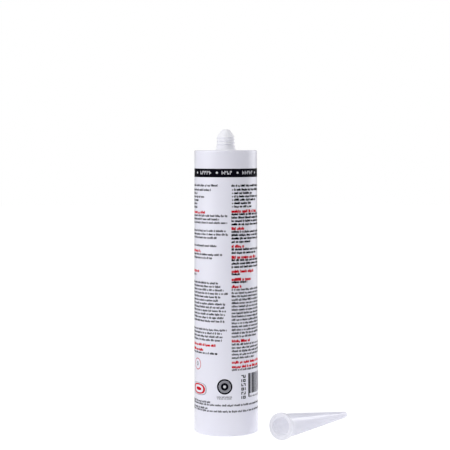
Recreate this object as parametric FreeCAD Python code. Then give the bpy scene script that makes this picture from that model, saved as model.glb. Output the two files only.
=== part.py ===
import FreeCAD, Part
import math
import os

# A cartridge of sealant that stands on its rear rim, with its nozzle taken off and laid beside it.
# Millimetres, +Z up. The origin is on the cartridge's axis, in the plane of its rear rim.
# The front of the cartridge faces -Y.

# cartridge body
body_length = 217.0           # rear rim to the flat shoulder
bore_radius = 22.8            # straight bore that the piston runs in
rear_wall = 2.0               # wall at the rear rim; the outside tapers towards the shoulder
shoulder_wall = 1.2           # wall where it meets the shoulder
lead_in_relief = 0.3          # the rear mouth is this much wider than the bore
lead_in_length = 9.0
head_thickness = 1.6
rim_round = 1.0
shoulder_round = 0.9
head_inner_round = 1.2

# neck, closed at its tip until it is cut
neck_bore_radius = 4.9
neck_wall = 1.45              # between the bore and the core of the thread
neck_base_step = 0.2          # the plain collar below the thread stands this proud of its crest
neck_base_height = 3.4
neck_flare = 2.4              # hollow round where the neck meets the shoulder
neck_core_height = 11.0       # shoulder to the start of the tip cone
neck_core_round = 0.8
neck_mouth_round = 0.5        # where the neck's bore leaves the head
tip_cone_height = 4.9
tip_radius = 2.9
tip_round = 1.6
tip_thickness = 1.3

# coarse thread on the neck
thread_pitch = 2.45
thread_height = 0.65
thread_root_width = 1.75
thread_crest_width = 0.7
thread_sink = 0.35            # how far the ridge's foot is set into the core
thread_top_gap = 0.2          # from the end of the thread to the tip cone
thread_turn = 260.0           # degrees about Z; also keeps the ridge off the seams at +X

# piston
piston_inset = 12.0           # from the rear rim to the piston's skirt
piston_height = 18.0
piston_floor = 1.8
piston_wall = 1.5
piston_floor_round = 1.5
piston_crown_rise = 0.8       # the middle of its face stands this much proud
piston_crown_margin = 8.6     # from the lip to the foot of the crown
piston_crown_slope = 2.0      # width over which the crown rises
lip_clearance = 0.15          # lips to bore
lip_height = 2.2
lip_round = 0.5
skirt_relief = 0.6            # the skirt between the lips is this much smaller than the bore

# sealant fill
fill_clearance = 0.1          # to the walls that hold it
fill_gap = 0.3                # to the piston's face

# nozzle
nozzle_length = 102.0
outlet_radius = 1.35
outlet_wall = 1.0
socket_clearance = 0.3        # socket wall to the crest of the neck's thread
socket_depth = 12.0
socket_step = 0.3             # the shank's bore is this much smaller than the socket
socket_wall = 1.6             # at the mouth
shank_length = 17.0           # mouth to the start of the long cone
shank_wall = 1.45             # where the long cone starts
collar_width = 1.3
collar_length = 2.2
collar_foot = 0.3             # height of the slope behind the collar
shank_round = 2.0

# small edges of the mouldings
edge_round = 0.3

# where the nozzle lies, from the centre of its mouth to the cartridge's rear rim
nozzle_gap_right = 16.0
nozzle_gap_front = 12.6
nozzle_heading = 57.0         # degrees from +X towards +Y, mouth to tip

past = 1.0                    # how far a cutting shape runs past the face that it opens

rear_radius = bore_radius + rear_wall
shoulder_radius = bore_radius + shoulder_wall
lead_in_radius = bore_radius + lead_in_relief
neck_core_radius = neck_bore_radius + neck_wall
thread_crest_radius = neck_core_radius + thread_height
neck_base_radius = thread_crest_radius + neck_base_step
neck_base_top = body_length + neck_base_height
neck_core_top = body_length + neck_core_height
tip_top = neck_core_top + tip_cone_height
thread_bottom = neck_base_top - thread_root_width / 2
thread_top = neck_core_top - thread_top_gap
head_underside = body_length - head_thickness
piston_top = piston_inset + piston_height
crown_top = piston_top + piston_crown_rise
fill_bottom = crown_top + fill_gap
fill_top = head_underside - fill_clearance
piston_travel = head_underside - fill_gap - crown_top
socket_radius = thread_crest_radius + socket_clearance
shank_bore_radius = socket_radius - socket_step
nozzle_root_radius = socket_radius + socket_wall
collar_radius = nozzle_root_radius + collar_width
shank_radius = shank_bore_radius + shank_wall
nozzle_tip_radius = outlet_radius + outlet_wall
nozzle_x = rear_radius + nozzle_gap_right
nozzle_y = -rear_radius - nozzle_gap_front


def rounded_profile(corners):
    """Closed face in the XZ plane from corners (radius, height, round), each rounded by an arc."""
    count = len(corners)
    points = [FreeCAD.Vector(r, 0, z) for r, z, _ in corners]
    edges = []
    cursor = None
    first_start = None
    for i in range(count):
        here = points[i]
        before = points[i - 1]
        after = points[(i + 1) % count]
        size = corners[i][2]
        start = here
        end = here
        if size > 0:
            to_before = (before - here).normalize()
            to_after = (after - here).normalize()
            half = to_before.getAngle(to_after) / 2
            reach = min(size / math.tan(half), 0.49 * (before - here).Length, 0.49 * (after - here).Length)
            radius = reach * math.tan(half)
            start = here + to_before * reach
            end = here + to_after * reach
            inward = (to_before + to_after).normalize()
            middle = here + inward * (radius / math.sin(half) - radius)
        if cursor is None:
            first_start = start
        else:
            edges.append(Part.LineSegment(cursor, start).toShape())
        if size > 0:
            edges.append(Part.Arc(start, middle, end).toShape())
        cursor = end
    edges.append(Part.LineSegment(cursor, first_start).toShape())
    return Part.Face(Part.Wire(edges))


def turned(corners):
    """Solid of revolution about Z."""
    face = rounded_profile(corners)
    return face.revolve(FreeCAD.Vector(0, 0, 0), FreeCAD.Vector(0, 0, 1), 360)


def neck_thread():
    """One helical ridge, cut level at both ends, so that its last turn runs out into the core."""
    foot_radius = neck_core_radius - thread_sink
    height = thread_top - thread_bottom + 2 * thread_pitch
    corners = [
        (foot_radius, -thread_root_width / 2),
        (thread_crest_radius, -thread_crest_width / 2),
        (thread_crest_radius, thread_crest_width / 2),
        (foot_radius, thread_root_width / 2),
    ]
    outline = Part.makePolygon([FreeCAD.Vector(r, 0, z) for r, z in corners + corners[:1]])
    helix = Part.makeHelix(thread_pitch, height, foot_radius)
    ridge = Part.Wire(helix.Edges).makePipeShell([outline], True, True)
    ridge.translate(FreeCAD.Vector(0, 0, thread_bottom - thread_pitch))
    ridge.rotate(FreeCAD.Vector(0, 0, 0), FreeCAD.Vector(0, 0, 1), thread_turn)
    floor = FreeCAD.Vector(0, 0, thread_bottom)
    room = Part.makeCylinder(2 * thread_crest_radius, thread_top - thread_bottom, floor)
    return ridge.common(room)


def make_cartridge():
    """Wall, head and neck are one moulding, open at the rear and closed at the tip."""
    outside = turned([
        (0, 0, 0),
        (rear_radius, 0, rim_round),
        (shoulder_radius, body_length, shoulder_round),
        (neck_base_radius, body_length, neck_flare),
        (neck_base_radius, neck_base_top, edge_round),
        (neck_core_radius, neck_base_top, edge_round),
        (neck_core_radius, neck_core_top, neck_core_round),
        (tip_radius, tip_top, tip_round),
        (0, tip_top, 0),
    ])
    inside = turned([
        (0, -past, 0),
        (lead_in_radius, -past, 0),
        (lead_in_radius, lead_in_length, 0),
        (bore_radius, lead_in_length + lead_in_relief, 0),
        (bore_radius, head_underside, head_inner_round),
        (neck_bore_radius, head_underside, neck_mouth_round),
        (neck_bore_radius, neck_core_top - tip_thickness, 0),
        (tip_radius - tip_thickness, tip_top - tip_thickness, 0),
        (0, tip_top - tip_thickness, 0),
    ])
    return outside.fuse(neck_thread()).cut(inside).removeSplitter().Solids[0]


def make_piston():
    """A cup, open to the rear, whose two lips run on the bore."""
    lip_radius = bore_radius - lip_clearance
    skirt_radius = bore_radius - skirt_relief
    inner_radius = skirt_radius - piston_wall
    crown_foot = lip_radius - piston_crown_margin
    return turned([
        (lip_radius, piston_inset, edge_round),
        (lip_radius, piston_inset + lip_height, lip_round),
        (skirt_radius, piston_inset + lip_height, 0),
        (skirt_radius, piston_top - lip_height, 0),
        (lip_radius, piston_top - lip_height, lip_round),
        (lip_radius, piston_top, lip_round),
        (crown_foot, piston_top, piston_crown_slope),
        (crown_foot - piston_crown_slope, crown_top, piston_crown_slope),
        (0, crown_top, 0),
        (0, piston_top - piston_floor, 0),
        (inner_radius, piston_top - piston_floor, piston_floor_round),
        (inner_radius, piston_inset, edge_round),
    ])


def make_sealant():
    """Everything between the piston's face and the closed neck."""
    fill_radius = bore_radius - fill_clearance
    stub_radius = neck_bore_radius - fill_clearance
    stub_top = neck_core_top - tip_thickness - fill_clearance
    return turned([
        (0, fill_bottom, 0),
        (fill_radius, fill_bottom, 0),
        (fill_radius, fill_top, head_inner_round),
        (stub_radius, fill_top, 0),
        (stub_radius, stub_top, 0),
        (0, stub_top, 0),
    ])


def make_nozzle():
    """A hollow cone with a collar and a socket for the neck, mouth at the origin, tip up +Z."""
    outside = turned([
        (0, 0, 0),
        (collar_radius, 0, edge_round),
        (collar_radius, collar_length, edge_round),
        (nozzle_root_radius, collar_length + collar_foot, edge_round),
        (shank_radius, shank_length, shank_round),
        (nozzle_tip_radius, nozzle_length, edge_round),
        (0, nozzle_length, 0),
    ])
    narrowing = (shank_bore_radius - outlet_radius) / (nozzle_length - shank_length)
    inside = turned([
        (0, -past, 0),
        (socket_radius, -past, 0),
        (socket_radius, socket_depth, 0),
        (shank_bore_radius, socket_depth + socket_step, 0),
        (shank_bore_radius, shank_length, shank_round),
        (outlet_radius - narrowing * past, nozzle_length + past, 0),
        (0, nozzle_length + past, 0),
    ])
    return outside.cut(inside).Solids[0]


def laid_down(nozzle):
    """Rest the nozzle on its collar and tip at the place and heading it has on the floor."""
    slope = math.degrees(math.atan2(collar_radius - nozzle_tip_radius, nozzle_length - collar_length))
    turn_over = FreeCAD.Rotation(FreeCAD.Vector(0, 1, 0), 90 + slope)
    head_round = FreeCAD.Rotation(FreeCAD.Vector(0, 0, 1), nozzle_heading)
    laid = nozzle.copy()
    laid.Placement = FreeCAD.Placement(FreeCAD.Vector(nozzle_x, nozzle_y, 0), head_round.multiply(turn_over))
    laid.translate(FreeCAD.Vector(0, 0, -laid.optimalBoundingBox().ZMin))
    return laid


os.makedirs("parts", exist_ok=True)
nodes = {
    "cartridge": make_cartridge(),
    "piston": make_piston(),
    "sealant": make_sealant(),
    "nozzle": laid_down(make_nozzle()),
}
for name, shape in nodes.items():
    shape.exportStep("parts/" + name + ".step")
    print(name, shape.ShapeType, len(shape.Solids), shape.isValid(), round(shape.Volume / 1000, 3), "ml")
print("piston travel", round(piston_travel, 3))
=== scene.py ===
import bpy
import math
import numpy as np
from mathutils import Matrix, Vector


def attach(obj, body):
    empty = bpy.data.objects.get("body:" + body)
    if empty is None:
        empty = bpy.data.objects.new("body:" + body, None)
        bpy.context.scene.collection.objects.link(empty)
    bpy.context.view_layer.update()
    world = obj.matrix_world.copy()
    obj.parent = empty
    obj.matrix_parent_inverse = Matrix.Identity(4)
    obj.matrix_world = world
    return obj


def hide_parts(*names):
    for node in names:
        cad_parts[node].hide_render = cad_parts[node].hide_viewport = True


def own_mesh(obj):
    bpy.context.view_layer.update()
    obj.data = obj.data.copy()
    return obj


# A white sealant cartridge standing on its rear rim, with its clear nozzle lying beside it.
# Everything is worked out in millimetres and angles; mm turns it into Blender's metres.
# Angles round the tube are counted in degrees from its front (-Y) towards its right (+X).

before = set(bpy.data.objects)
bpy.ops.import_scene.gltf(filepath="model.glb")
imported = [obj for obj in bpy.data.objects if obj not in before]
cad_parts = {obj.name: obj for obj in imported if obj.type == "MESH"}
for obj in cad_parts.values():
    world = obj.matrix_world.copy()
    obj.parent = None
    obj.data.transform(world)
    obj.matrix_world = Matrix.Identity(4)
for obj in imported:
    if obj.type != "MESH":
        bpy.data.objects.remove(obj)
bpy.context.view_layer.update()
mm = 0.001
dice = np.random.default_rng(41)
print("frame loaded:", sorted(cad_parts))


# Shader tools

class Wire:
    # one output in a node tree; Python's operators on it add Math nodes
    def __init__(self, graph, socket):
        self.graph = graph
        self.socket = socket

    def __add__(self, other):
        return self.graph.math("ADD", self, other)

    def __radd__(self, other):
        return self.graph.math("ADD", other, self)

    def __sub__(self, other):
        return self.graph.math("SUBTRACT", self, other)

    def __rsub__(self, other):
        return self.graph.math("SUBTRACT", other, self)

    def __mul__(self, other):
        return self.graph.math("MULTIPLY", self, other)

    def __rmul__(self, other):
        return self.graph.math("MULTIPLY", other, self)


class Graph:
    # the node tree of a material, or of the world
    def __init__(self, owner):
        owner.use_nodes = True
        self.owner = owner
        self.tree = owner.node_tree
        self.tree.nodes.clear()

    def node(self, kind, settings=None, sockets=None, output=0):
        # adds any node: its settings first, then the values or links of its sockets
        made = self.tree.nodes.new("ShaderNode" + kind)
        for key, value in (settings or {}).items():
            setattr(made, key, value)
        for key, value in (sockets or {}).items():
            if isinstance(value, Wire):
                self.tree.links.new(value.socket, made.inputs[key])
            else:
                made.inputs[key].default_value = value
        if len(made.outputs) == 0:
            return None
        return Wire(self, made.outputs[output])

    def math(self, operation, a, b, clamp=False):
        return self.node("Math", {"operation": operation, "use_clamp": clamp}, {0: a, 1: b})

    def blend(self, share, a, b):
        # colours a and b mixed by share
        return self.node("Mix", {"data_type": "RGBA"}, {0: share, 6: a, 7: b}, output=2)

    def noise(self, where, scale, detail):
        return self.node("TexNoise", {}, {"Vector": where, "Scale": scale, "Detail": detail})

    def stretched(self, x, y, z):
        # Object coordinates stretched by a Mapping node
        spot = self.node("TexCoord", output=3)
        return self.node("Mapping", {}, {"Vector": spot, "Scale": (x, y, z)})

    def bump(self, height, distance, strength, under=None):
        sockets = {"Height": height, "Distance": distance, "Strength": strength}
        if under is not None:
            sockets["Normal"] = under
        return self.node("Bump", {}, sockets)

    def mark(self, name):
        # a number that the piece's own mesh carries at each point
        return self.node("Attribute", {"attribute_name": name}, output="Fac")

    def ray(self, kind):
        # 1 for light paths of one kind, such as Camera or Glossy, and 0 for the others
        return self.node("LightPath", output="Is " + kind + " Ray")

    def finish(self, shade):
        self.node("OutputMaterial", {}, {"Surface": shade})
        return self.owner


def newGraph(name):
    return Graph(bpy.data.materials.new(name))


# Shape tools

def evenTurns(count):
    # the angles of one full turn, evenly spaced from 0
    return np.arange(count) * 2 * math.pi / count


def roundAxis(radius, angle, height):
    # points round the tube's axis: x = r sin(angle), y = -r cos(angle), z = height
    x = radius * np.sin(angle)
    y = -radius * np.cos(angle)
    return np.stack(np.broadcast_arrays(x, y, height), axis=-1)


def roundCorners(corners, steps=6):
    # corners are (radius, height, round); each round is an arc that touches both of its sides,
    # centred on the line that halves the corner
    spots = np.array([corner[:2] for corner in corners], float)
    rounds = [corner[2] for corner in corners[1:-1]]
    mostOfSide = 0.49           # a round takes up at most this share of each side
    line = [spots[0]]
    for before, here, after, size in zip(spots[:-2], spots[1:-1], spots[2:], rounds):
        if size == 0:
            line.append(here)
            continue
        lengthBefore = np.linalg.norm(before - here)
        lengthAfter = np.linalg.norm(after - here)
        toBefore = (before - here) / lengthBefore
        toAfter = (after - here) / lengthAfter
        half = math.acos(np.clip(toBefore @ toAfter, -1, 1)) / 2
        reach = min(size / math.tan(half), mostOfSide * lengthBefore, mostOfSide * lengthAfter)
        bisector = (toBefore + toAfter) / np.linalg.norm(toBefore + toAfter)
        centre = here + bisector * reach / math.cos(half)
        start = here + toBefore * reach - centre
        end = here + toAfter * reach - centre
        turn = math.atan2(start[0] * end[1] - start[1] * end[0], start @ end)
        swing = turn * np.linspace(0, 1, steps + 1)
        across = start[0] * np.cos(swing) - start[1] * np.sin(swing)
        up = start[0] * np.sin(swing) + start[1] * np.cos(swing)
        line.extend(centre + np.column_stack([across, up]))
    line.append(spots[-1])
    return np.array(line)


def splitSpans(line, longest, near=0.12):
    # adds even points so that no span of the profile is longer than the given length, and one close to
    # each end of a long span, which keeps the shading of a round out of the straight beside it
    pieces = []
    for a, b in zip(line[:-1], line[1:]):
        length = np.linalg.norm(b - a)
        parts = max(1, math.ceil(length / longest))
        share = np.arange(parts) / parts
        if length > 6 * near:
            share = np.unique(np.append(share, [near / length, 1 - near / length]))
        pieces.append(a + (b - a) * share[:, None])
    return np.vstack(pieces + [line[-1:]])


def turnedRows(line, around):
    # each profile point (r, z) becomes a ring of points round the axis
    return roundAxis(line[:, :1], evenTurns(around), line[:, 1:])


def addMesh(name, spots, faces, crease=38.0):
    # points in millimetres and faces of 3 or 4 corners, turned outwards by the sign of their volume
    mesh = bpy.data.meshes.new(name)
    corners = np.concatenate([f.ravel() for f in faces])
    counts = np.concatenate([np.full(len(f), f.shape[1]) for f in faces])
    starts = np.concatenate([[0], np.cumsum(counts)[:-1]])
    volume = 0.0
    for f in faces:
        a = spots[f[:, 0]]
        for k in range(1, f.shape[1] - 1):
            volume += np.sum(np.cross(a, spots[f[:, k]]) * spots[f[:, k + 1]])
    if volume < 0:
        corners = np.concatenate([f[:, ::-1].ravel() for f in faces])
    mesh.vertices.add(len(spots))
    mesh.vertices.foreach_set("co", (spots * mm).ravel())
    mesh.loops.add(len(corners))
    mesh.loops.foreach_set("vertex_index", corners.astype(np.int32))
    mesh.polygons.add(len(counts))
    mesh.polygons.foreach_set("loop_start", starts.astype(np.int32))
    mesh.update(calc_edges=True)
    mesh.validate()
    mesh.shade_smooth()
    mesh.set_sharp_from_angle(angle=math.radians(crease))
    piece = bpy.data.objects.new(name, mesh)
    bpy.context.scene.collection.objects.link(piece)
    return piece


def skinRows(name, rows, ring=False, crease=38.0):
    # rows of points, each row a closed loop, joined to the next row by quads; with ring the last row
    # joins the first, and otherwise each end row shrinks to one point in its middle
    count, around = rows.shape[:2]
    spots = rows.reshape(-1, 3)
    index = np.arange(count * around).reshape(count, around)
    ahead = np.roll(index, -1, axis=1)
    below = np.arange(count if ring else count - 1)
    above = (below + 1) % count
    quads = np.stack([index[below], ahead[below], ahead[above], index[above]], axis=2).reshape(-1, 4)
    faces = [quads]
    if not ring:
        spots = np.vstack([spots, rows[0].mean(0), rows[-1].mean(0)])
        first = np.stack([ahead[0], index[0], np.full(around, count * around)], axis=1)
        final = np.stack([index[-1], ahead[-1], np.full(around, count * around + 1)], axis=1)
        faces += [first, final]
    return addMesh(name, spots, faces, crease)


# Cartridge body

cartridge = {
    "bodyLength": 217.0,
    "boreRadius": 22.8,
    "rearWall": 2.0,
    "shoulderWall": 1.2,
    "leadInRelief": 0.3,
    "leadInLength": 9.0,
    "headThickness": 1.6,
    "rimRound": 1.0,
    "shoulderRound": 0.9,
    "headInnerRound": 1.2,
    "neckBore": 4.9,
    "neckWall": 1.45,
    "neckBaseStep": 0.2,
    "neckBaseHeight": 3.4,
    "neckBaseRound": 0.3,
    "neckFlare": 2.4,
    "neckHeight": 11.0,
    "neckTopRound": 0.8,
    "neckMouthRound": 0.5,
    "coneHeight": 4.9,
    "tipRadius": 2.9,
    "tipRound": 2.7,
    "tipThickness": 1.3,
    "threadPitch": 2.45,
    "threadHeight": 0.65,
    "threadFoot": 1.75,         # the ridge's width at its foot
    "threadCrest": 0.7,         # and at its crest
    "threadSink": 0.35,         # how far its foot is set into the core
    "threadTopGap": 0.2,
    "threadTurn": 260.0,        # degrees about the axis
    "gridTopGap": 0.9,          # from the tip cone down to the fine rows that carry the thread
    "gridFootStep": 0.35,       # the ledge below them starts this far inside the plain base
    "gridRows": 90,
    "poleRadius": 0.3,          # profiles stop this close to the axis, where one point closes them
    "around": 288,
    "arcSteps": 8,
    "longestSpan": 12.0,
    "deepTone": (0.775, 0.772, 0.866, 1),
    "paleTone": (0.800, 0.797, 0.886, 1),
    "flowTone": (0.770, 0.767, 0.860, 1),
    # painted light: the neck's tone is lighter than the wall's, so the top of the tube looks brighter
    "neckPaintedLightTone": (0.86, 0.86, 0.91, 1),
    "neckPaintedLightToneFrom": 216.6,      # the height where the wall's tone turns into the neck's
    "neckPaintedLightToneRate": 900.0,      # its share gained per metre
}
c = cartridge
rearRadius = c["boreRadius"] + c["rearWall"]
shoulderRadius = c["boreRadius"] + c["shoulderWall"]
leadInRadius = c["boreRadius"] + c["leadInRelief"]
coreRadius = c["neckBore"] + c["neckWall"]
crestRadius = coreRadius + c["threadHeight"]
neckBaseRadius = crestRadius + c["neckBaseStep"]
neckBaseTop = c["bodyLength"] + c["neckBaseHeight"]
coreTop = c["bodyLength"] + c["neckHeight"]
gridTop = coreTop - c["gridTopGap"]
tipTop = coreTop + c["coneHeight"]
headUnderside = c["bodyLength"] - c["headThickness"]
threadBottom = neckBaseTop - c["threadFoot"] / 2
threadTop = coreTop - c["threadTopGap"]


def wallRadius(height):
    # outside radius of the tapered wall: a straight line from the rim to the shoulder
    return rearRadius + (shoulderRadius - rearRadius) * height / c["bodyLength"]


def threadRadius(angle, height):
    # radius of the threaded neck: how far a point lies from the nearest turn of the helix sets
    # how much of the ridge's sloping side it has climbed, and the ridge never falls below the core
    turns = (np.degrees(angle) - 90 - c["threadTurn"]) / 360
    off = (height - threadBottom) / c["threadPitch"] - turns
    off = np.abs(off - np.round(off)) * c["threadPitch"]
    climb = (c["threadFoot"] / 2 - off) / (c["threadFoot"] / 2 - c["threadCrest"] / 2)
    rise = (c["threadHeight"] + c["threadSink"]) * np.clip(climb, 0, 1) - c["threadSink"]
    inside = (height > threadBottom) & (height < threadTop)
    return coreRadius + np.where(inside, np.maximum(rise, 0), 0)


def makeCartridge():
    # a profile turned about the axis: the outside from the tip down to the rim, then the inside back up
    # to the closed tip; the threaded stretch between them is a grid of angle and height
    outsideTop = roundCorners([
        (c["poleRadius"], tipTop, 0),
        (c["tipRadius"], tipTop, c["tipRound"]),
        (coreRadius, coreTop, c["neckTopRound"]),
        (coreRadius, gridTop, 0),
    ], c["arcSteps"])
    outsideLow = roundCorners([
        (neckBaseRadius - c["gridFootStep"], neckBaseTop, 0),
        (neckBaseRadius, neckBaseTop, c["neckBaseRound"]),
        (neckBaseRadius, c["bodyLength"], c["neckFlare"]),
        (shoulderRadius, c["bodyLength"], c["shoulderRound"]),
        (rearRadius, 0, c["rimRound"]),
        (leadInRadius, 0, 0),
        (leadInRadius, c["leadInLength"], 0),
        (c["boreRadius"], c["leadInLength"] + c["leadInRelief"], 0),
        (c["boreRadius"], headUnderside, c["headInnerRound"]),
        (c["neckBore"], headUnderside, c["neckMouthRound"]),
        (c["neckBore"], coreTop - c["tipThickness"], 0),
        (c["tipRadius"] - c["tipThickness"], tipTop - c["tipThickness"], 0),
        (c["poleRadius"], tipTop - c["tipThickness"], 0),
    ], c["arcSteps"])
    topRows = turnedRows(outsideTop[:-1], c["around"])
    lowRows = turnedRows(splitSpans(outsideLow, c["longestSpan"]), c["around"])
    angle = evenTurns(c["around"])
    height = np.linspace(gridTop, neckBaseTop, c["gridRows"])[:, None]
    threadRows = roundAxis(threadRadius(angle, height), angle, height)
    return skinRows("cartridgeShell", np.vstack([topRows, threadRows, lowRows]))


def whitePlastic():
    # white polyethylene: faint clouding, moulding flow along the tube and fine orange-peel; the neck and the
    # top of the shoulder are painted lighter, a painted light that makes the top of the tube look brighter
    g = newGraph("whitePlastic")
    even = g.stretched(1, 1, 1)
    long = g.stretched(1, 1, 0.12)
    cloud = g.noise(even, 45, 3)
    flow = g.noise(long, 160, 4)
    grain = g.noise(even, 2600, 2)
    tint = g.blend(cloud, c["deepTone"], c["paleTone"])
    tint = g.blend((flow - 0.5) * 0.5 + 0.25, tint, c["flowTone"])
    height = g.node("SeparateXYZ", {}, {"Vector": even}, output=2)
    neck = g.math("MULTIPLY", height - c["neckPaintedLightToneFrom"] * mm, c["neckPaintedLightToneRate"], clamp=True)
    # painted light: the neck and the top of the shoulder are made lighter
    tint = g.blend(neck, tint, c["neckPaintedLightTone"])
    rough = 0.13 + 0.05 * flow + 0.04 * grain + 0.30 * neck
    low = g.bump(flow, 0.00012, 0.35)
    fine = g.bump(grain, 0.00002, 0.35, low)
    return g.finish(g.node("BsdfPrincipled", {}, {
        "Base Color": tint, "Roughness": rough, "Normal": fine, "IOR": 1.5,
        "Subsurface Weight": 0.12, "Subsurface Radius": (0.9, 0.9, 1.0), "Subsurface Scale": 0.0015,
    }))


shell = makeCartridge()
shell.data.materials.append(whitePlastic())
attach(shell, "tube")
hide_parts("cartridge")
print("cartridge:", len(shell.data.polygons), "faces")


# Print on the body: marks of ink laid on the curved wall

ink = {
    "proud": 0.02,
    "sunk": 0.03,
    "over": 0.02,               # ink that lies on other ink stands this much higher
    "gloss": 0.42,
    "whiteGloss": 0.40,
    "blockWide": 0.49,          # the small blocks that rows of print are made of
    "blockStep": 0.62,
    "blockHigh": 1.22,
    "tallBlock": 1.66,
    "tallShare": 0.34,
    "dip": 0.28,
    "dipShare": 0.10,
    "boldWide": 1.2,
    "leftStep": 2.63,           # from row to row in the two columns
    "rightStep": 2.54,
    "leftEdge": -106.0,
    "rightStart": 10.0,
    "rightEdge": 84.0,
    "bulletIndent": 5.0,
    "bullet": (11.2, 13.2, 0.2, 1.1),       # from and to in degrees, low and high above the row
    "upperSize": 1.08,
    "leftRedSize": 1.2,
    "rightRedSize": 1.4,
    "lowRedSize": 1.3,
    "band": (196.72, 203.2),                # low and high
    "bandRow": (198.85, 201.5),
    "bandShort": 0.45,          # height of a short block as a share of the row's
    "bandStem": 0.24,           # widths in a place of the row, as shares of it
    "bandBlock": (0.38, 0.70),
    "dotHeight": 200.15,
    "dotSize": (0.85, 0.8),
    "figureWide": 2.25,
    "figureTall": 3.9,
    "figureBar": 0.76,
    "figureStep": 3.2,
    "figurePlace": (32.3, 28.3),            # angle and height of the lowest one
    "code": (43.1, 31.9, 47.4),             # first bar's angle, low and high
    "codeTail": 2.6,            # the first bar reaches this much lower
    "roundel": (-2.8, 38.1),                # angle and height of the centre
    "oval": (-58.9, 35.0),
    "ring": (-62.0, 53.9),
    "ringHeart": (-62.0, 54.2),
    "shapeAround": 96,
    "fieldRows": 9,
    "ringRows": 5,
    "fieldHole": 0.08,          # a full field's innermost row, closed by one point
}


def laySlabs(name, marks, steps=1, lift=0.0):
    # each mark (angle from, angle to, low, high) is a thin slab on the wall: the four corners of its
    # section, two proud of the wall and two just under its skin, are carried round from angle to angle
    marks = np.array(marks, float)
    share = np.linspace(0, 1, steps + 1)
    angle = np.radians(marks[:, :1] + (marks[:, 1:2] - marks[:, :1]) * share)
    low, high = marks[:, 2:3], marks[:, 3:4]
    out = ink["proud"] + lift
    section = ((low, out), (high, out), (high, -ink["sunk"]), (low, -ink["sunk"]))
    spots = np.stack([roundAxis(wallRadius(height) + off, angle, height) for height, off in section], axis=2)
    index = np.arange(len(marks) * (steps + 1) * 4).reshape(len(marks), steps + 1, 4)
    around = np.roll(index, -1, axis=2)
    walls = np.stack([index[:, :-1], index[:, 1:], around[:, 1:], around[:, :-1]], axis=3).reshape(-1, 4)
    starts = index[:, 0]
    ends = index[:, -1, ::-1]
    return addMesh(name, spots.reshape(-1, 3), [walls, starts, ends], crease=20.0)


def blockRow(height, start, end, size=1.0, bold=False):
    # small blocks one step apart from one angle to another, with gaps between groups of two to nine; each
    # block is a mark (left, left + width / radius, foot, foot + its height), some taller and some lower
    radius = wallRadius(height)
    step = ink["blockStep"] * size
    room = math.radians(end - start) * radius
    count = int(room / step)
    if count < 1:
        return np.zeros((0, 4))
    groups = np.cumsum(dice.integers(2, 10, count) + 1)
    keep = ~np.isin(np.arange(count), groups - 1)
    keep[-1] = True
    wide = ink["blockWide"] * size * dice.uniform(0.85, 1.12, count)
    if bold:
        wide = wide * ink["boldWide"]
    tall = np.where(dice.random(count) < ink["tallShare"], ink["tallBlock"], ink["blockHigh"]) * size
    dip = np.where(dice.random(count) < ink["dipShare"], ink["dip"], 0.0) * size
    left = start + np.degrees(np.arange(count) * step / radius)
    rows = np.stack([left, left + np.degrees(wide / radius), height - dip, height + tall - dip], axis=1)
    return rows[keep]


def blockRows(rows, start, size=1.0, bold=False):
    # rows are (height, angle where the row ends)
    return np.vstack([blockRow(height, start, end, size, bold) for height, end in rows])


def leftRows(top, *ends):
    # rows one step apart in the left column, from the top height down
    return [(top - i * ink["leftStep"], end) for i, end in enumerate(ends)]


def rightRows(top, *ends):
    # the same in the right column
    return [(top - i * ink["rightStep"], end) for i, end in enumerate(ends)]


full = ink["rightEdge"]
leftBlack = (
    leftRows(189.8, -14) + leftRows(186.4, -27, -62, -42, -58, -63, -62) + leftRows(166.9, 4, -11, 4)
    + leftRows(155.5, 0, 5, -16) + leftRows(144.1, -16) + leftRows(137.5, -6, -25) + leftRows(121.8, -67)
    + leftRows(115.9, -13, -9, -3, 4, -9, -13, 0, -2, 1, 0, -3, -2) + leftRows(80.4, 2, -7, -5, -7)
)
leftRed = [(169.2, -39), (139.8, -51), (124.3, -56), (68.3, -18), (64.4, -45)]
rightUpper = (
    rightRows(189.6, full) + rightRows(168.1, full, full, full, full)
    + rightRows(154.9, full, full, full, 51) + rightRows(141.5, full, 67)
    + rightRows(133.4, full, full, full) + rightRows(122.8, 26) + rightRows(116.8, 42)
)
rightBlack = (
    rightRows(111.1, *[full] * 14, 70) + rightRows(69.5, full, full, full, full, 61) + rightRows(50.2, full)
)
rightBullets = rightRows(186.6, full, 56, full, 68, 52, 54)
rightRed = [(170.0, 72), (157.0, 35), (143.6, 36), (135.3, 70), (124.6, 61), (118.5, 51)]
rightLowRed = [(113.2, 30), (71.8, 48), (55.6, full), (52.2, 78)]


def inkMaterial(name, colour, deep, roughness):
    # a coat of printing ink: slightly uneven density, pinholes of thin ink, satin gloss
    g = newGraph(name)
    even = g.stretched(1, 1, 1)
    patchy = g.noise(even, 900, 3)
    pin = g.noise(even, 5200, 2)
    tone = g.blend(patchy, colour, deep)
    rough = roughness + 0.10 * (pin - 0.5) + 0.06 * patchy
    skin = g.bump(pin, 0.000006, 0.4)
    return g.finish(g.node("BsdfPrincipled", {}, {
        "Base Color": tone, "Roughness": rough, "Normal": skin, "IOR": 1.5, "Specular IOR Level": 0.015,
    }))


blackInk = inkMaterial("blackInk", (0.002, 0.002, 0.005, 1), (0.0035, 0.0035, 0.008, 1), ink["gloss"])
redInk = inkMaterial("redInk", (0.60, 0.008, 0.020, 1), (0.53, 0.006, 0.016, 1), ink["gloss"])
greyInk = inkMaterial("greyInk", (0.22, 0.22, 0.25, 1), (0.28, 0.28, 0.31, 1), ink["gloss"])
dimInk = inkMaterial("dimInk", (0.03, 0.03, 0.04, 1), (0.05, 0.05, 0.06, 1), ink["gloss"])
whiteInk = inkMaterial("whiteInk", (0.64, 0.64, 0.68, 1), (0.60, 0.60, 0.64, 1), ink["whiteGloss"])


def printOn(piece, finish):
    piece.data.materials.append(finish)
    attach(piece, "tube")


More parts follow.
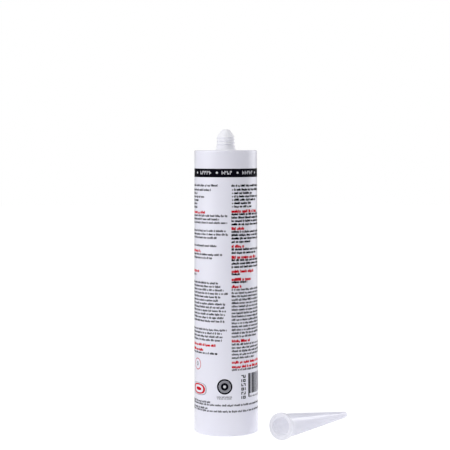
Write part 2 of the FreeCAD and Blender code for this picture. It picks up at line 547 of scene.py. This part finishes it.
printOn(laySlabs("bandPrint", [(-180, 180, *ink["band"])], steps=360), blackInk)
bulletLeft, bulletRight, bulletLow, bulletHigh = ink["bullet"]
smallBlack = np.vstack([
    blockRows(leftBlack, ink["leftEdge"]),
    blockRows(rightBlack, ink["rightStart"]),
    blockRows(rightUpper, ink["rightStart"], ink["upperSize"], bold=True),
    blockRows(rightBullets, ink["rightStart"] + ink["bulletIndent"], ink["upperSize"], bold=True),
    [(bulletLeft, bulletRight, height + bulletLow, height + bulletHigh) for height, end in rightBullets],
])
printOn(laySlabs("blackPrint", smallBlack), blackInk)
smallRed = np.vstack([
    blockRows(leftRed, ink["leftEdge"], ink["leftRedSize"], bold=True),
    blockRows(rightRed, ink["rightStart"], ink["rightRedSize"], bold=True),
    blockRows(rightLowRed, ink["rightStart"], ink["lowRedSize"], bold=True),
])
printOn(laySlabs("redPrint", smallRed), redInk)
print("small print:", len(smallBlack) + len(smallRed), "marks")


def layShape(name, angle, height, halfWide, halfTall, inner=0.0, power=2.0, lift=0.0):
    # a rounded shape on the wall: |x/halfWide|^power + |y/halfTall|^power = 1, scaled from inner to 1;
    # with inner at 0 it is a full field, and otherwise a ring
    turn = evenTurns(ink["shapeAround"])
    across = np.sign(np.sin(turn)) * np.abs(np.sin(turn)) ** (2 / power) * halfWide
    up = np.sign(np.cos(turn)) * np.abs(np.cos(turn)) ** (2 / power) * halfTall
    if inner > 0:
        scales = np.linspace(inner, 1, ink["ringRows"])
    else:
        scales = np.linspace(ink["fieldHole"], 1, ink["fieldRows"])
    outside = [(scale, ink["proud"] + lift) for scale in scales]
    underside = [(scale, -ink["sunk"]) for scale in scales[::-1]]
    rows = []
    for scale, off in outside + underside:
        z = height + up * scale
        place = math.radians(angle) + across * scale / wallRadius(height)
        rows.append(roundAxis(wallRadius(z) + off, place, z))
    return skinRows(name, np.stack(rows), ring=inner > 0, crease=20.0)


def figureBars(figures, angle, low):
    # plain figures one above the other, each turned to read upwards and made of some of seven short bars;
    # a bar's distance along the tube adds to the height, and its distance across is taken off the angle
    wide, tall, thick = ink["figureWide"], ink["figureTall"], ink["figureBar"]
    bars = {
        "top": (0, wide, tall - thick, tall),
        "mid": (0, wide, (tall - thick) / 2, (tall + thick) / 2),
        "base": (0, wide, 0, thick),
        "upLeft": (0, thick, tall / 2, tall),
        "upRight": (wide - thick, wide, tall / 2, tall),
        "lowLeft": (0, thick, 0, tall / 2),
        "lowRight": (wide - thick, wide, 0, tall / 2),
    }
    turn = math.degrees(1 / wallRadius(low))
    marks = []
    for place, figure in enumerate(figures):
        foot = low + place * ink["figureStep"]
        for bar in figure.split():
            left, right, bottom, top = bars[bar]
            first = angle + turn * (tall / 2 - top)
            last = angle + turn * (tall / 2 - bottom)
            marks.append((first, last, foot + left, foot + right))
    return np.array(marks)


def codeBars(start, low, high):
    # upright bars, each as wide in degrees as listed and followed by its gap; the first one is longer
    wide = np.array([2.9, 2.2, 0.9, 0.9, 2.8, 2.8, 1.6, 1.6, 1.8, 1.8, 1.4, 2.2, 1.4, 1.1, 2.8, 1.3])
    gap = np.array([0.3, 1.0, 0.9, 0.9, 0.5, 1.0, 0.9, 1.2, 1.4, 1.6, 3.6, 1.6, 1.7, 1.4, 1.0, 1.0])
    left = start + np.cumsum(wide + gap) - wide - gap
    foot = np.full(len(wide), low)
    foot[0] = low - ink["codeTail"]
    return np.stack([left, left + wide, foot, high + 0 * left], axis=1)


def bandBlocks(start, end, count):
    # a plain row of places of one width, each with a thin block as tall as the row and a wider, short one
    # at its foot, its middle or its top
    low, high = ink["bandRow"]
    short = (high - low) * ink["bandShort"]
    step = (end - start) / count
    blockLeft, blockRight = ink["bandBlock"]
    marks = []
    for left in start + step * np.arange(count):
        foot = dice.choice([low, high - short, low + short / 2])
        marks.append((left, left + ink["bandStem"] * step, low, high))
        marks.append((left + blockLeft * step, left + blockRight * step, foot, foot + short))
    return marks


bandRows = (
    (-52.5, -25.9, 5), (-7.3, 12.3, 4), (31.3, 57.9, 5), (82.7, 102.3, 4),
    (127.5, 154.1, 5), (172.7, 192.3, 4), (211.3, 237.9, 5), (262.7, 282.3, 4),
)
bandDots = (-62.6, -16.1, 21.7, 65.3, 111.0, 156.0, 201.0, 249.0)
bandMarks = []
for start, end, count in bandRows:
    bandMarks += bandBlocks(start, end, count)
printOn(laySlabs("bandBlocks", bandMarks, lift=ink["over"]), whiteInk)
for place, angle in enumerate(bandDots):
    dot = layShape("bandDot" + str(place), angle, ink["dotHeight"], *ink["dotSize"], lift=ink["over"])
    printOn(dot, whiteInk)

plainFigures = (
    "top mid base lowLeft lowRight", "top base upRight lowLeft", "top mid base upLeft upRight",
    "top base upLeft lowRight", "top mid base lowLeft lowRight", "mid base upRight lowLeft",
)
lowerBlack = np.vstack([
    blockRow(62.3, -30, -15, 1.1, bold=True), blockRow(62.3, ink["leftEdge"], -31),
    figureBars(plainFigures, *ink["figurePlace"]), codeBars(*ink["code"]),
])
printOn(laySlabs("lowerBlack", lowerBlack), blackInk)
lowerGrey = np.vstack([
    blockRow(29.7, -17, 11, 0.7), blockRow(28.4, -16, 10, 0.7), blockRow(28.9, 45, 100, 0.9),
])
printOn(laySlabs("lowerGrey", lowerGrey), greyInk)
lowerDim = blockRows([(25.0, -29), (23.1, 82), (20.2, -34), (18.4, full)], ink["leftEdge"], 0.95)
printOn(laySlabs("lowerDim", lowerDim), dimInk)
printOn(layShape("roundelRim", *ink["roundel"], 5.9, 5.9, inner=0.79), blackInk)
printOn(layShape("roundelField", *ink["roundel"], 4.6, 4.6), greyInk)
printOn(layShape("roundelCore", *ink["roundel"], 2.9, 2.9, inner=0.4, lift=ink["over"]), blackInk)
printOn(layShape("roundelDot", *ink["roundel"], 1.05, 1.05, lift=ink["over"]), whiteInk)
printOn(layShape("greyRim", *ink["oval"], 9.2, 4.8, inner=0.92, power=3.0), greyInk)
printOn(layShape("redRim", *ink["oval"], 7.8, 4.0, inner=0.74, power=2.4), redInk)
printOn(layShape("redHeart", *ink["oval"], 3.6, 1.3, power=2.4), redInk)
printOn(layShape("pinkRing", *ink["ring"], 4.5, 4.5, inner=0.87), redInk)
printOn(layShape("pinkHeart", *ink["ringHeart"], 1.3, 1.8, inner=0.5), greyInk)
print("larger print done")


# Piston: the CAD node, in natural polyethylene

pistonLook = {
    "deepTone": (0.74, 0.75, 0.79, 1),
    "paleTone": (0.80, 0.81, 0.84, 1),
    "roughness": 0.36,
}


def naturalPlastic():
    # plain milky polyethylene with turning marks round the axis and soft mottling
    g = newGraph("naturalPlastic")
    even = g.stretched(1, 1, 1)
    mottle = g.noise(even, 120, 3)
    rings = g.node("TexWave", {"wave_type": "RINGS", "rings_direction": "Z", "wave_profile": "SIN"},
                   {"Vector": even, "Scale": 900.0, "Distortion": 0.6, "Detail": 1.0}, output=1)
    tint = g.blend(mottle, pistonLook["deepTone"], pistonLook["paleTone"])
    rough = pistonLook["roughness"] + 0.10 * mottle
    skin = g.bump(rings, 0.00001, 0.3, g.bump(mottle, 0.00006, 0.4))
    return g.finish(g.node("BsdfPrincipled", {}, {
        "Base Color": tint, "Roughness": rough, "Normal": skin, "IOR": 1.5,
        "Subsurface Weight": 0.2, "Subsurface Radius": (1, 1, 1), "Subsurface Scale": 0.001,
    }))


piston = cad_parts["piston"]
piston.data.materials.clear()
piston.data.materials.append(naturalPlastic())
print("piston done")


# Sealant: the column in the tube, which in use shortens as the piston rises, and the plug in the neck;
# here both are fixed drums

fill = {
    "radius": 22.7,
    "low": 31.1,
    "high": 215.3,
    "rounds": (0.2, 1.2),       # at the foot and at the top
    "plugRadius": 4.8,
    "plugTop": 226.6,
    "plugRounds": (0.1, 0.6),
    "poleRadius": 0.5,          # profiles stop this close to the axis, where one point closes them
    "around": 128,
    "longestSpan": 20.0,
    "deepTone": (0.012, 0.012, 0.014, 1),
    "paleTone": (0.026, 0.026, 0.029, 1),
}


def pasteMaterial():
    # black sealing paste: glossy, with slow smears and a few fine lumps
    g = newGraph("paste")
    smear = g.noise(g.stretched(1, 1, 0.3), 90, 4)
    lump = g.noise(g.stretched(1, 1, 1), 900, 2)
    tint = g.blend(smear, fill["deepTone"], fill["paleTone"])
    rough = 0.28 + 0.22 * smear
    skin = g.bump(lump, 0.00004, 0.4, g.bump(smear, 0.0003, 0.5))
    return g.finish(g.node("BsdfPrincipled", {}, {
        "Base Color": tint, "Roughness": rough, "Normal": skin, "IOR": 1.45,
    }))


def makeDrum(name, radius, low, high, lowRound, highRound):
    # a closed drum: a profile of foot, side and top with two rounded corners, turned about the axis
    line = roundCorners([
        (fill["poleRadius"], low, 0),
        (radius, low, lowRound),
        (radius, high, highRound),
        (fill["poleRadius"], high, 0),
    ])
    return skinRows(name, turnedRows(splitSpans(line, fill["longestSpan"]), fill["around"]))


paste = pasteMaterial()
column = makeDrum("sealantColumn", fill["radius"], fill["low"], fill["high"], *fill["rounds"])
plug = makeDrum("neckPlug", fill["plugRadius"], fill["high"], fill["plugTop"], *fill["plugRounds"])
for piece in (column, plug):
    piece.data.materials.append(paste)
    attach(piece, "tube")
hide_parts("sealant")
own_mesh(column)
print("sealant done")


# Nozzle

nozzle = {
    "length": 102.0,
    "outletRadius": 1.35,
    "outletWall": 1.0,
    "outletRound": 0.15,
    "socketRadius": 7.3,
    "socketDepth": 12.0,
    "socketStep": 0.3,
    "socketWall": 1.6,
    "shankLength": 17.0,
    "shankWall": 1.45,
    "collarWidth": 1.3,
    "collarLength": 2.2,
    "collarFoot": 0.3,
    "shankRound": 2.0,
    "edge": 0.3,
    "threadPitch": 2.45,
    "threadHeight": 0.6,
    "threadHalf": 0.85,         # half the ridge's width at its foot
    "threadSlope": 0.5,         # width of each of its sloping sides
    "threadFrom": 1.6,
    "threadTo": 11.0,
    "threadEase": 0.8,          # length over which it rises at its two ends
    "threadRows": 80,
    "mouth": (40.8, -37.4, 10.3392),
    "heading": 57.0,            # degrees from +X towards +Y, mouth to tip
    "around": 128,
    "longestSpan": 5.0,
    "wallMargin": 0.3,          # points this close to the inner wall belong to the bore
    "fadeLength": 50.0,         # past the socket, where the bore's tone fades and the polish dulls
    "deepTone": (0.862, 0.862, 0.90, 1),
    "paleTone": (0.888, 0.888, 0.928, 1),
    # painted light: the bore's tone is paler than the plastic's
    "borePaintedLightTone": (0.94, 0.94, 0.955, 1),
    # painted shade: the collar's tone is darker than the plastic's
    "collarPaintedShadeTone": (0.83, 0.83, 0.87, 1),
    "throughTone": (0.88, 0.88, 0.92, 1),
    "throughShare": 0.62,       # how much of the plastic only passes light on, and how much less
    "collarThrough": 0.20,      # of the collar does
}


def makeNozzle():
    # a profile turned about its axis: outside from the mouth to the tip, then inside back to the socket,
    # whose radius drops by a ridge that climbs round it; the whole is then laid on its collar and tip
    n = nozzle
    rootRadius = n["socketRadius"] + n["socketWall"]
    collarRadius = rootRadius + n["collarWidth"]
    collarEnd = n["collarLength"] + n["collarFoot"]
    shankBore = n["socketRadius"] - n["socketStep"]
    tipRadius = n["outletRadius"] + n["outletWall"]
    outline = roundCorners([
        ((n["socketRadius"] + collarRadius) / 2, 0, 0),
        (collarRadius, 0, n["edge"]),
        (collarRadius, n["collarLength"], n["edge"]),
        (rootRadius, collarEnd, n["edge"]),
        (shankBore + n["shankWall"], n["shankLength"], n["shankRound"]),
        (tipRadius, n["length"], n["edge"]),
        (n["outletRadius"], n["length"], n["outletRound"]),
        (shankBore, n["shankLength"], n["shankRound"]),
        (shankBore, n["socketDepth"] + n["socketStep"], 0),
        (n["socketRadius"], n["socketDepth"], 0),
    ])
    angle = evenTurns(n["around"])
    height = np.linspace(n["socketDepth"], 0, n["threadRows"])[:, None]
    off = height / n["threadPitch"] - angle / (2 * math.pi)
    off = np.abs(off - np.round(off)) * n["threadPitch"]
    rise = np.clip((height - n["threadFrom"]) / n["threadEase"], 0, 1)
    fall = np.clip((n["threadTo"] - height) / n["threadEase"], 0, 1)
    ridge = n["threadHeight"] * np.clip((n["threadHalf"] - off) / n["threadSlope"], 0, 1) * rise * fall
    socketRows = roundAxis(n["socketRadius"] - ridge, angle, height)
    rows = np.vstack([turnedRows(splitSpans(outline[:-1], n["longestSpan"]), n["around"]), socketRows])
    slope = math.atan2(collarRadius - tipRadius, n["length"] - n["collarLength"])
    lay = Matrix.Rotation(math.radians(n["heading"]), 3, "Z") @ Matrix.Rotation(math.pi / 2 + slope, 3, "Y")
    piece = skinRows("nozzleCone", rows @ np.array(lay).T + np.array(n["mouth"]), ring=True)

    # what the material reads: bore is 1 on the inner wall and fades along the cone, and marks the bore's
    # painted light; collar is 1 on the collar's outside, and marks the collar's painted shade; and reach
    # grows from 0 at the socket's end to 1 on the cone
    radius = np.hypot(rows[:, :, 0], rows[:, :, 1])
    along = rows[:, :, 2]
    margin = n["wallMargin"]
    inWall = (n["socketRadius"] + margin, shankBore + margin, n["outletRadius"] + margin)
    reach = np.clip((along - n["socketDepth"]) / n["fadeLength"], 0, 1)
    bore = (radius < np.interp(along, (0, n["shankLength"], n["length"]), inWall)) * (1 - reach)
    collar = (along < collarEnd) & (radius > n["socketRadius"] + margin)
    for name, share in (("bore", bore), ("collar", collar), ("reach", reach)):
        layer = piece.data.attributes.new(name, "FLOAT", "POINT")
        layer.data.foreach_set("value", share.astype(np.float32).ravel())
    return piece


def milkyPlastic():
    # natural polyethylene: milky, with much of the light passing through it and faint clouding; the bore
    # is painted paler (painted light), the thick collar is painted darker (painted shade), and the long cone
    # is less polished
    n = nozzle
    g = newGraph("milkyPlastic")
    even = g.stretched(1, 1, 1)
    cloud = g.noise(even, 90, 3)
    grain = g.noise(even, 1800, 2)
    collar = g.mark("collar")
    tint = g.blend(cloud, n["deepTone"], n["paleTone"])
    # painted light on the bore's inner wall
    tint = g.blend(g.mark("bore"), tint, n["borePaintedLightTone"])
    # painted shade on the collar's outside
    tint = g.blend(collar, tint, n["collarPaintedShadeTone"])
    rough = 0.12 + 0.04 * cloud + 0.10 * g.mark("reach")
    skin = g.bump(grain, 0.00002, 0.4, g.bump(cloud, 0.00015, 0.5))
    body = g.node("BsdfPrincipled", {}, {
        "Base Color": tint, "Roughness": rough, "Normal": skin, "IOR": 1.5, "Transmission Weight": 0.35,
    })
    through = g.node("BsdfTranslucent", {}, {"Color": n["throughTone"], "Normal": skin})
    # the collar's painted shade also lets less light through it
    share = n["throughShare"] - n["collarThrough"] * collar
    return g.finish(g.node("MixShader", {}, {0: share, 1: body, 2: through}))


cone = makeNozzle()
cone.data.materials.append(milkyPlastic())
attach(cone, "tube")
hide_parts("nozzle")
print("nozzle done")


# Studio: floor, lamps and world

studio = {
    "floorSize": 8.0,           # metres
    "floorGlow": 0.86,          # how much of the seen floor is plain white, the rest is lit card
    "glow": 1.12,               # strength of that white
    "bounce": 1.35,             # strength of the light that the card sends back up
    "bounceReach": 0.32,        # metres from the point where it is strongest to where it ends
    "bounceFrom": (0.14, 0.02, 0.0),
    "bounceGloss": 0.8,         # its share in reflections
    "frontTone": 0.475,
    "backTone": 0.45,
    "toneTurn": 0.6,            # how far back the world's back tone begins, and how fast it comes
    "toneRate": 4.0,
    "lampAim": (0, 0, 110),     # millimetres
}


def makeFloor():
    # one square, corners at plus and minus half its size, lying at the height of the rim
    half = studio["floorSize"] / 2 / mm
    flat = np.array([(-half, -half, 0), (half, -half, 0), (half, half, 0), (-half, half, 0)], float)
    return addMesh("floor", flat, [np.array([[0, 1, 2, 3]])])


def floorMaterial():
    # white card: seen directly it glows almost white and keeps a little of its shading; beside the
    # tube it also sends some light back up, falling off with the distance from one point
    g = newGraph("floorCard")
    even = g.stretched(1, 1, 1)
    fleck = g.noise(even, 60, 3)
    tint = g.blend(fleck, (0.86, 0.86, 0.87, 1), (0.88, 0.88, 0.89, 1))
    tint = g.blend(g.ray("Glossy"), tint, (0.74, 0.74, 0.75, 1))
    away = g.node("VectorMath", {"operation": "DISTANCE"}, {0: even, 1: studio["bounceFrom"]}, output=1)
    near = g.math("SUBTRACT", 1.0, away * (1 / studio["bounceReach"]), clamp=True)
    lit = g.ray("Diffuse") + studio["bounceGloss"] * g.ray("Glossy")
    lift = g.blend(near * near * lit, (0, 0, 0, 1), (1, 1, 1, 1))
    card = g.node("BsdfPrincipled", {}, {
        "Base Color": tint, "Roughness": 1.0, "Specular IOR Level": 0.0,
        "Emission Color": lift, "Emission Strength": studio["bounce"],
    })
    glow = g.node("Emission", {}, {"Color": (1, 1, 1, 1), "Strength": studio["glow"]})
    seen = g.math("MAXIMUM", g.ray("Camera"), g.ray("Transmission"))
    return g.finish(g.node("MixShader", {}, {0: seen * studio["floorGlow"], 1: card, 2: glow}))


floor = makeFloor()
floor.data.materials.append(floorMaterial())


def addLamp(name, angle, distance, height, size, power):
    # a rectangular soft lamp that stands at an angle round the tube and faces the point aimed at
    lamp = bpy.data.lights.new(name, "AREA")
    lamp.shape = "RECTANGLE"
    lamp.size, lamp.size_y = size
    lamp.energy = power
    holder = bpy.data.objects.new(name, lamp)
    turn = math.radians(angle)
    place = Vector((distance * math.sin(turn), -distance * math.cos(turn), height))
    holder.location = place
    holder.rotation_euler = (Vector(studio["lampAim"]) * mm - place).to_track_quat("-Z", "Y").to_euler()
    bpy.context.scene.collection.objects.link(holder)


# name, angle, distance and height in metres, size in metres, power in watts
addLamp("softLeft", -66, 1.3, 0.35, (1.08, 1.2), 4.4)
addLamp("softRight", 115, 1.3, 0.35, (0.95, 1.2), 5.7)
addLamp("softBack", 135, 1.4, 0.43, (0.35, 0.35), 2.0)
addLamp("softFrontLeft", -45, 1.5, 1.0, (0.8, 0.8), 8.0)
addLamp("softFront", -20, 1.6, 1.0, (0.8, 0.8), 0.8)
addLamp("softTop", 200, 0.25, 1.6, (0.5, 0.5), 4.4)


def paintWorld():
    # white where the camera and clear plastic look; the light itself is a little dimmer from behind
    g = Graph(bpy.data.worlds.new("whiteRoom"))
    way = g.node("TexCoord", output=0)
    depth = g.node("SeparateXYZ", {}, {"Vector": way}, output=1)
    back = g.math("MULTIPLY", depth - studio["toneTurn"], studio["toneRate"], clamp=True)
    front, rear = studio["frontTone"], studio["backTone"]
    dim = g.blend(back, (front, front, front, 1), (rear, rear, rear, 1))
    seen = g.math("MAXIMUM", g.ray("Camera"), g.ray("Transmission"))
    room = g.node("Background", {}, {"Color": g.blend(seen, dim, (1, 1, 1, 1)), "Strength": 1.0})
    g.node("OutputWorld", {}, {"Surface": room})
    bpy.context.scene.world = g.owner


paintWorld()
print("studio done")


# Camera

view = {
    "distance": 1053.3,         # millimetres, as the next two
    "height": 220.3,
    "side": -0.65,
    "pitch": 3.304,             # degrees below level
    "roll": -0.126,
    "lens": 109.58,
    "sensor": 36.0,
    "clipEnd": 50.0,
}
camera = bpy.data.objects.new("camera", bpy.data.cameras.new("camera"))
camera.data.sensor_width = view["sensor"]
camera.data.lens = view["lens"]
camera.data.clip_end = view["clipEnd"]
place = Matrix.Translation((view["side"] * mm, -view["distance"] * mm, view["height"] * mm))
pitch = Matrix.Rotation(math.radians(90 - view["pitch"]), 4, "X")
roll = Matrix.Rotation(math.radians(view["roll"]), 4, "Z")
camera.matrix_world = place @ pitch @ roll
bpy.context.scene.collection.objects.link(camera)
bpy.context.scene.camera = camera
bpy.context.scene.view_settings.view_transform = "Standard"
print("camera set")
